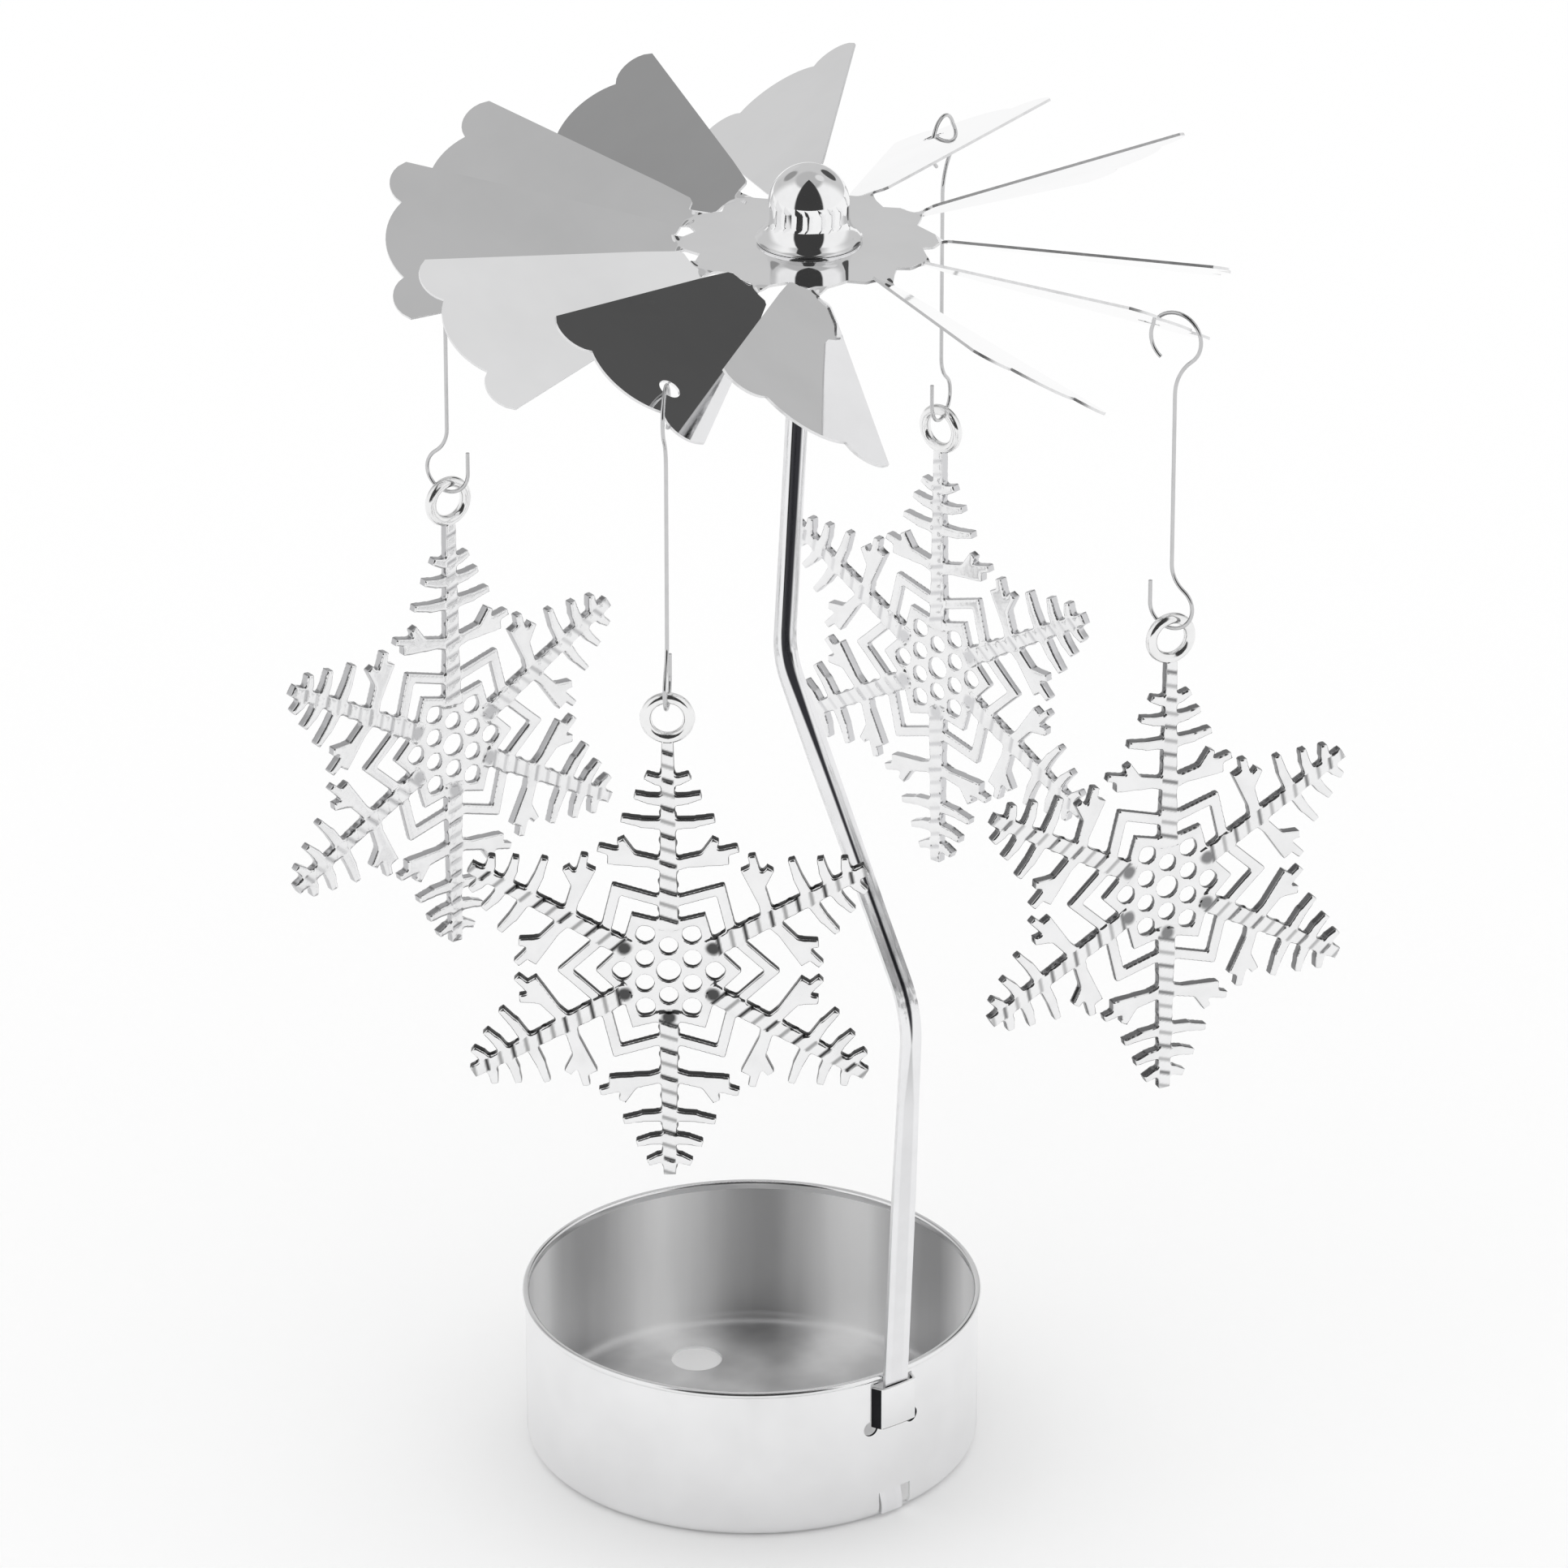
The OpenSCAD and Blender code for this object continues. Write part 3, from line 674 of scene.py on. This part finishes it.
blades = []
for i, (veer, extra, rise) in enumerate(blade_sets):
    blade = blank.copy()
    blade.data = blank.data.copy()
    bpy.context.collection.objects.link(blade)
    if i in charm_blades:
        cut(blade, fresh(bpy.ops.mesh.primitive_cylinder_add, "hook_hole", vertices=48,
                         radius=hole_r, depth=4 * sheet_t,
                         location=(tip_r - hole_inset, hole_side, 0)))
    only(blade)
    bpy.ops.object.mode_set(mode="EDIT")
    for k, x in enumerate(neck_places[:-1]):
        # The sheet gives way little by little, and most in the middle of the neck.
        share = math.cos(math.pi * k / neck_steps) - math.cos(math.pi * (k + 1) / neck_steps)
        choose(blade, lambda place: place.x > x + bend_margin)
        bpy.ops.transform.rotate(value=math.radians(blade_twist + extra) * share / 2,
                                 orient_axis="X", center_override=(x, 0, 0))
        bpy.ops.transform.rotate(value=math.radians(rise) * share / 2, orient_axis="Y",
                                 center_override=(x, 0, 0))
    bpy.ops.object.mode_set(mode="OBJECT")
    turn = math.radians(rotor_turn + blade_step * i + veer)
    blade.matrix_world = Matrix.Translation(hub) @ Matrix.Rotation(turn, 4, "Z")
    blades.append(settle(blade))
bpy.data.objects.remove(blank)
rotor = join("rotor_sheet", [plate] + blades)
smooth(rotor, 25)
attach(rotor, "rotor")
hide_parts("rotor")


# Pivot cap: a small bell drawn from sheet. It stands on the stem's point, its flange lies on
# the star plate and its lip is rolled over below it, so cap and plate turn as one. Mirror plated.
dome_r = 5.05 * mm
dome_wall_h = 5 * mm
flange_r = 6.6 * mm
shell_t = 0.4 * mm
dome_mid_r = dome_r - shell_t / 2
flange_z = hub.z + sheet_t / 2 + shell_t / 2
lip_t = 0.6 * shell_t
cap_around = 96
cap_colour = (0.9, 0.9, 0.905, 1)
# How far the skirt has flared out from the dome's wall, and how high it is there.
flare = [(0, 3.4 * mm), (0.12 * mm, 2.5 * mm), (0.45 * mm, 1.7 * mm), (0.95 * mm, 1.1 * mm),
         (1.4 * mm, 0.7 * mm)]

cap = turned(
    "pivot_cap_shell", hub,
    arc(0, hub.z + dome_wall_h, dome_mid_r, 88, 0, 22)
    + [(dome_mid_r + out, hub.z + z) for out, z in flare]
    + [(flange_r - 0.15 * mm, flange_z + 0.06 * mm), (flange_r - 0.02 * mm, flange_z)],
    around=cap_around)
clean(cap)
modify(cap, "SOLIDIFY", thickness=shell_t, offset=0, use_even_offset=True)
lip = turned(
    "cap_lip", hub,
    [(dome_mid_r, hub.z + sheet_t), (dome_mid_r, hub.z - sheet_t / 2)]
    + arc(dome_r + shell_t, hub.z - sheet_t / 2 + 0.1 * mm, shell_t * 1.2, 200, 350, 6),
    around=cap_around, fill="NOTHING")
clean(lip)
modify(lip, "SOLIDIFY", thickness=lip_t, offset=0)
cap = join("pivot_cap_shell", [cap, lip])
modify(cap, "BEVEL", width=0.06 * mm, segments=2, limit_method="ANGLE",
       angle_limit=math.radians(50))
smooth(cap, 40)
cap.data.materials.append(plated("cap_mirror", cap_colour, 0.03, 0.06, 0.004 * mm,
                                 **{"Film size": 300, "Ripple size": 200}))
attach(cap, "rotor")
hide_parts("pivot_cap")


# Hooks: bright wire bent over a pin at both ends. The upper arch goes through the hole of a
# blade and hangs there, and the lower loop takes the ring of a charm.
wire_r = 0.25 * mm
arch_r = 3.4 * mm
arch_back_r = 1.82 * arch_r
loop_r = 2.9 * mm
loop_back_r = 1.4 * loop_r
hook_h = 35.6 * mm
wire_colour = (0.58, 0.58, 0.585, 1)
arch_angle = math.acos(arch_back_r / (arch_r + arch_back_r))
loop_angle = math.acos(loop_back_r / (loop_r + loop_back_r))
arch_end = -(arch_r + arch_back_r) * math.sin(arch_angle)
loop_start = -hook_h + (loop_r + loop_back_r) * math.sin(loop_angle)


def spin(x, z, angle, steps):
    """Bends the wire on about a pin, counterclockwise where the angle is positive."""
    bpy.ops.mesh.spin(steps=steps, angle=angle, center=(x, 0, z), axis=(0, 1, 0))


wire_start = math.radians(234)
wire = fresh(bpy.ops.mesh.primitive_circle_add, "hook_blank", vertices=12, radius=wire_r,
             location=(arch_r * math.cos(wire_start), 0, arch_r * math.sin(wire_start)),
             rotation=(0, math.atan2(math.sin(wire_start), -math.cos(wire_start)), 0))
bpy.ops.object.mode_set(mode="EDIT")
bpy.ops.mesh.select_all(action="SELECT")
spin(0, 0, -(wire_start + arch_angle), 32)
spin(arch_back_r, arch_end, arch_angle, 10)
bpy.ops.mesh.extrude_region_move(TRANSFORM_OT_translate={"value": (0, 0, loop_start - arch_end)})
spin(loop_back_r, loop_start, loop_angle, 8)
spin(0, -hook_h, -(loop_angle + math.pi), 28)
bpy.ops.mesh.extrude_region_move(TRANSFORM_OT_translate={"value": (0, 0, loop_r)})
bpy.ops.mesh.select_all(action="SELECT")
bpy.ops.mesh.fill_holes(sides=0)
bpy.ops.object.mode_set(mode="OBJECT")
clean(wire)
smooth(wire, 60)
wire.data.materials.append(plated("wire_plated", wire_colour, 0.1, 0.2, 0.004 * mm,
                                  **{"Film size": 500, "Ripple size": 700}))
for letter in charm_blades.values():
    hook = wire.copy()
    hook.data = wire.data.copy()
    hook.name = hook.data.name = "hook_wire_" + letter
    bpy.context.collection.objects.link(hook)
    joint = joint_of["hook_" + letter + "_swing"]
    turn = math.atan2(joint["axis"][0], -joint["axis"][1])
    hook.matrix_world = Matrix.Translation(joint["pos_m"]) @ Matrix.Rotation(turn, 4, "Z")
    settle(hook)
    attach(hook, "hook_" + letter)
    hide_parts("hook_" + letter)
bpy.data.objects.remove(wire)


# Charms: snowflakes cast flat with their rings and bright plated. Rope-like arms carry barbs,
# leaves and two star bands round a pierced plate. The grooves, pits and narrow sides carry
# painted shade, much deeper on some charms than on others.
arm_l = 28.5 * mm
flake_t = 1.4 * mm
ring_r = 3.35 * mm
ring_tube_r = 0.72 * mm
ring_mid_r = ring_r - ring_tube_r
ring_gap = 0.3 * mm
ring_hang = ring_mid_r - ring_tube_r - wire_r - ring_gap
ring_foot_half_w = 0.5 * mm
ring_foot_sink = 0.12 * mm
ring_to_flake = 1.19 * arm_l
charm_yaws = {"a": 5, "b": -37, "c": -15, "d": -29}
# The tone of each charm's front, and of the painted shade in its grooves and narrow sides.
charm_front_and_shade_tones = {"a": (0.88, 0.02), "b": (0.88, 0.2), "c": (0.88, 0.64), "d": (0.87, 0.5)}
ring_tone = 0.88
voxel = 0.18 * mm
groove_step = 0.0655 * arm_l
groove_start = 0.25 * arm_l
groove_half_w = 0.013 * arm_l
groove_slant = 0.33
groove_depth = 0.12 * mm
root_pit_at = 0.22 * arm_l
root_pit_r = 0.038 * arm_l
root_pit_shade = 0.93
root_pit_edge = 1.5
faint_groove = 0.6
arm_start = 0.2
arm_start_half_w = 0.042
arm_end = 0.98
arm_end_half_w = 0.027
strand_count = 11
strand_w = 0.06 * arm_l
strand_thick = 1.12 * flake_t
strand_tilt = math.radians(18)
centre_plate_r = 0.252 * arm_l
centre_plate_t = 0.55 * flake_t
star_band_thick = 0.75
star_peak_overlap = 0.45
# How high each barb leaves the arm and how long it is, in arm lengths.
barbs = [(0.704, 0.2), (0.814, 0.143), (0.906, 0.095)]


def bar(x0, y0, x1, y1, w0, w1, thick=1):
    """A flat bar from one place and width to another in arm lengths, and its share of flake_t."""
    start = Vector((x0, y0, 0)) * arm_l
    end = Vector((x1, y1, 0)) * arm_l
    way = end - start
    piece = fresh(bpy.ops.mesh.primitive_cube_add, "bar", size=1,
                  scale=(w0 * arm_l, way.length, thick * flake_t))
    bpy.ops.object.mode_set(mode="EDIT")
    choose(piece, lambda place: place.y > 0)
    bpy.ops.transform.resize(value=(w1 / w0, 1, 1), center_override=(0, way.length / 2, 0))
    bpy.ops.object.mode_set(mode="OBJECT")
    turn = math.atan2(way.y, way.x) - math.pi / 2
    piece.matrix_world = Matrix.Translation((start + end) / 2) @ Matrix.Rotation(turn, 4, "Z")
    return settle(piece)


def strand(y):
    """One strand of the rope that the arm is made like, across the arm at this height."""
    length = 0.118 - 0.048 * y
    return fresh(bpy.ops.mesh.primitive_uv_sphere_add, "strand", segments=12, ring_count=8,
                 radius=0.5, location=(0, y * arm_l, 0), rotation=(0, 0, -strand_tilt),
                 scale=(length * arm_l, strand_w, strand_thick))


def flake_arm():
    """One arm of the snowflake, pointing up."""
    parts = [bar(0, arm_start, 0, arm_end, 2 * arm_start_half_w, 2 * arm_end_half_w)]
    for k in range(strand_count):
        parts.append(strand((groove_start + (k + 0.5) * groove_step) / arm_l))
    for side in (-1, 1):
        for y, length in barbs:
            parts.append(bar(0, y - 0.008, side * length * 0.6, y, 0.052, 0.044))
            parts.append(bar(side * length * 0.5, y - 0.002, side * length, y + 0.018, 0.044, 0.032))
        parts.append(bar(0, 0.497, side * 0.3, 0.584, 0.06, 0.034))
        parts.append(bar(0, 0.512, side * 0.26, 0.527, 0.05, 0.04))
        parts.append(bar(side * 0.155, 0.53, side * 0.205, 0.625, 0.06, 0.036))
    return join("arm", parts)


def turned_copy(piece, degrees):
    """A copy turned about the flake's middle."""
    copy = piece.copy()
    copy.data = piece.data.copy()
    bpy.context.collection.objects.link(copy)
    copy.matrix_world = Matrix.Rotation(math.radians(degrees), 4, "Z")
    return settle(copy)


def star_side(peak, valley, width):
    """Two sides of a star band, from one valley over a peak to the next."""
    low = Vector((0, valley))
    top = Vector((peak * math.sin(math.radians(30)), peak * math.cos(math.radians(30))))
    far = Vector((valley * math.sin(math.radians(60)), valley * math.cos(math.radians(60))))
    sides = []
    for foot in (low, far):
        end = top + (top - foot).normalized() * width * star_peak_overlap
        sides.append(bar(*foot, *end, width, width, star_band_thick))
    return sides


centre_plate = fresh(bpy.ops.mesh.primitive_cylinder_add, "centre_plate", vertices=36,
                     radius=centre_plate_r, depth=centre_plate_t)
# Each hole's distance from the middle, its turn and its radius, in arm lengths and degrees.
holes = [(0, 0, 0.052)]
for k in range(6):
    holes.append((0.118, 60 * k, 0.04))
    holes.append((0.2, 60 * k + 30, 0.042))
for away, turn, r in holes:
    x = -away * arm_l * math.sin(math.radians(turn))
    y = away * arm_l * math.cos(math.radians(turn))
    cut(centre_plate, fresh(bpy.ops.mesh.primitive_cylinder_add, "hole", vertices=24,
                            radius=r * arm_l, depth=4 * flake_t, location=(x, y, 0)))
sector = join("sector", [flake_arm()] + star_side(0.447, 0.32, 0.048)
              + star_side(0.285, 0.21, 0.044))
sectors = [turned_copy(sector, 60 * k) for k in range(1, 6)]
neck = bar(0, 0.95, 0, (ring_to_flake - ring_r) / arm_l + 0.02, 0.058, 0.05)
flake_blank = join("flake_blank", [sector, centre_plate, neck] + sectors)
modify(flake_blank, "REMESH", mode="VOXEL", voxel_size=voxel)
modify(flake_blank, "SMOOTH", factor=0.5, iterations=2)

# The rope's grooves, and a pit at the root of each arm but the top one, are pressed into both
# faces. They and the narrow sides carry a mask for painted shade.
groove_margin = 0.004 * arm_l
groove_taper = 0.02
groove_end = 1.06 * arm_l
narrow_from = 0.72
narrow_span = 0.35
recess_shade = flake_blank.data.color_attributes.new("recess_shade", "FLOAT_COLOR", "POINT")
flatness = [abs(v.normal.z) for v in flake_blank.data.vertices]
for v in flake_blank.data.vertices:
    turn = math.atan2(v.co.x, v.co.y)
    arm_turn = math.radians(60 * round(math.degrees(turn) / 60))
    r = v.co.xy.length
    along = r * math.cos(turn - arm_turn)
    aside = r * math.sin(turn - arm_turn)
    half_w = arm_start_half_w * arm_l + groove_margin - groove_taper * along
    steps = (along + groove_slant * aside - groove_start) / groove_step
    off = abs(steps - round(steps)) * groove_step
    groove = 0
    if abs(aside) < half_w and -0.5 < steps and along < groove_end:
        groove = max(0, 1 - (off / groove_half_w) ** 2)
        groove *= 1 if round(steps) % 2 == 0 else faint_groove
    if arm_turn != 0:
        pit = 1 - ((along - root_pit_at) / root_pit_r) ** 2 - (aside / root_pit_r) ** 2
        groove = max(groove, min(root_pit_shade, root_pit_edge * pit))
    narrow = min(1, max(0, (narrow_from - flatness[v.index]) / narrow_span))
    recess_shade.data[v.index].color = [max(groove, narrow)] * 3 + [1]
    v.co.z -= math.copysign(groove_depth * groove * (1 - narrow), v.co.z)
only(flake_blank)
bpy.ops.object.shade_smooth()

ring_blank = fresh(bpy.ops.mesh.primitive_torus_add, "ring_blank", major_radius=ring_mid_r,
                   minor_radius=ring_tube_r, major_segments=64, minor_segments=20)
bpy.ops.object.mode_set(mode="EDIT")
choose(ring_blank, lambda place: place.y < -ring_mid_r and abs(place.x) < ring_foot_half_w)
bpy.ops.transform.translate(value=(0, -ring_foot_sink, 0))
bpy.ops.object.mode_set(mode="OBJECT")
only(ring_blank)
bpy.ops.object.shade_smooth()


def cast(name, front, sides):
    """Bright plated casting with painted shade in its grooves and on its narrow sides."""
    material = plated(name, (front, front, front * 1.005, 1), 0.12, 0.2, 0.02 * mm,
                      **{"Film size": 260, "Hairline size": 2000, "Ripple size": 900})
    tree = material.node_tree
    shader = tree.nodes["Principled BSDF"]
    plain = shader.inputs["Base Color"].links[0].from_socket
    mark = add_node(tree, "ShaderNodeAttribute", {}, attribute_name="recess_shade")
    tint = add_node(tree, "ShaderNodeMix",
                    {0: mark.outputs["Fac"], 6: plain, 7: (sides, sides, sides * 1.02, 1)},
                    data_type="RGBA")
    tree.links.new(tint.outputs[2], shader.inputs["Base Color"])
    return material


ring_cast = plated("ring_cast", (ring_tone, ring_tone, ring_tone, 1), 0.1, 0.2, 0.03 * mm,
                   **{"Film size": 260, "Hairline size": 2000, "Ripple size": 900})
for letter in charm_blades.values():
    joint = joint_of["charm_" + letter + "_swing"]
    turn = math.atan2(joint["axis"][1], joint["axis"][0]) + math.radians(charm_yaws[letter])
    upright = Matrix.Rotation(turn, 4, "Z") @ Matrix(
        ((0, 0, 1, 0), (1, 0, 0, 0), (0, 1, 0, 0), (0, 0, 0, 1)))
    ring_place = Vector(joint["pos_m"]) - Vector((0, 0, ring_hang))
    flake_place = ring_place - Vector((0, 0, ring_to_flake))
    for blank, name, place in [(ring_blank, "ring", ring_place),
                               (flake_blank, "flake", flake_place)]:
        charm = blank.copy()
        charm.data = blank.data.copy()
        charm.name = charm.data.name = name + "_cast_" + letter
        bpy.context.collection.objects.link(charm)
        charm.matrix_world = Matrix.Translation(place) @ upright
        settle(charm)
        if name == "ring":
            charm.data.materials.append(ring_cast)
        else:
            charm.data.materials.append(cast("charm_cast_" + letter, *charm_front_and_shade_tones[letter]))
        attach(charm, "charm_" + letter)
        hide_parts(name + "_" + letter)
bpy.data.objects.remove(ring_blank)
bpy.data.objects.remove(flake_blank)


# Studio: a pale floor under an even white tent. Metal shows the tent's darker panels and the
# dark gap in front of it, where the camera stands.
camera_turn = math.radians(52.23)
camera_rise = math.radians(25.1)
camera_side = 4.224 * mm
camera_up = 84.79 * mm
camera_back = 1282.06 * mm
focal_pixels = 12000
photo_pixels = 1932
sensor_mm = 36
floor_tone = 0.97
tent_tone = 0.97
gap_tone = 0.05
gap_full = 38
gap_gone = 44
panels = [  # turn from the camera, height, full to, gone at, tone
    (180, 30, 52, 75, 0.62),
    (0, 90, 26, 36, 0.51),
    (142, 32, 12, 15, 0.085),
    (154, 15, 6, 10, 0.53),
    (-157, 14, 10, 16, 0.67),
    (-136, 39, 10, 16, 0.32),
    (119, 63, 8, 12, 0.78),
]

right = Vector((math.cos(camera_turn), math.sin(camera_turn), 0))
back = Vector((math.sin(camera_turn) * math.cos(camera_rise),
               -math.cos(camera_turn) * math.cos(camera_rise), math.sin(camera_rise)))
up = back.cross(right)
camera = bpy.data.objects.new("camera", bpy.data.cameras.new("camera"))
bpy.context.collection.objects.link(camera)
camera.location = camera_side * right + camera_up * up + camera_back * back
camera.rotation_euler = (math.pi / 2 - camera_rise, 0, camera_turn)
camera.data.sensor_width = sensor_mm
camera.data.lens = focal_pixels / photo_pixels * sensor_mm
bpy.context.scene.camera = camera
bpy.context.scene.view_settings.view_transform = "Standard"

floor = fresh(bpy.ops.mesh.primitive_plane_add, "floor", size=16)
floor_finish = bpy.data.materials.new("floor_paper")
floor_finish.use_nodes = True
floor_tree = floor_finish.node_tree
floor_shader = floor_tree.nodes["Principled BSDF"]
floor_shader.inputs["Base Color"].default_value = (floor_tone, floor_tone, floor_tone, 1)
floor_shader.inputs["Roughness"].default_value = 1
floor_shader.inputs["Specular IOR Level"].default_value = 0
ray = floor_tree.nodes.new("ShaderNodeLightPath")
seen = add_node(floor_tree, "ShaderNodeMath",
                {0: ray.outputs["Is Camera Ray"], 1: ray.outputs["Is Glossy Ray"]},
                operation="MAXIMUM")
lift = add_node(floor_tree, "ShaderNodeMath", {0: seen.outputs[0], 1: 1 - floor_tone},
                operation="MULTIPLY")
floor_shader.inputs["Emission Color"].default_value = (1, 1, 1, 1)
floor_tree.links.new(lift.outputs[0], floor_shader.inputs["Emission Strength"])
floor.data.materials.append(floor_finish)

tent = bpy.data.worlds.new("tent")
bpy.context.scene.world = tent
tent.use_nodes = True
tent.cycles.sampling_method = "NONE"
tree = tent.node_tree
ground = tree.nodes["Background"]
way = tree.nodes.new("ShaderNodeTexCoord").outputs["Generated"]


def towards(turn, rise):
    """The direction that is turned from the camera and raised from the floor, in degrees."""
    around = camera_turn - math.pi / 2 + math.radians(turn)
    above = math.radians(rise)
    return Vector((math.cos(around) * math.cos(above), math.sin(around) * math.cos(above),
                   math.sin(above)))


def panel(tone_before, way, middle, full, gone, tone):
    """Paints a soft round panel over the tone before it."""
    near = add_node(tree, "ShaderNodeVectorMath", {0: way, 1: middle}, operation="DOT_PRODUCT")
    return add_node(tree, "ShaderNodeMapRange",
                    {"Value": near.outputs["Value"], "From Min": math.cos(math.radians(gone)),
                     "From Max": math.cos(math.radians(full)), "To Min": tone_before,
                     "To Max": tone}, interpolation_type="SMOOTHSTEP").outputs[0]


tone = tent_tone
for turn, rise, full, gone, shade in panels[:2]:
    tone = panel(tone, way, towards(turn, rise), full, gone, shade)
flat = add_node(tree, "ShaderNodeVectorMath", {0: way, 1: (1, 1, 0)}, operation="MULTIPLY")
level = add_node(tree, "ShaderNodeVectorMath", {0: flat.outputs[0]}, operation="NORMALIZE")
tone = panel(tone, level.outputs[0], towards(0, 0), gap_full, gap_gone, gap_tone)
for turn, rise, full, gone, shade in panels[2:]:
    tone = panel(tone, way, towards(turn, rise), full, gone, shade)
path = tree.nodes.new("ShaderNodeLightPath")
seen_tone = add_node(tree, "ShaderNodeMix",
                     {0: path.outputs["Is Glossy Ray"], 2: 1, 3: tone}, data_type="FLOAT")
tree.links.new(seen_tone.outputs[0], ground.inputs["Color"])
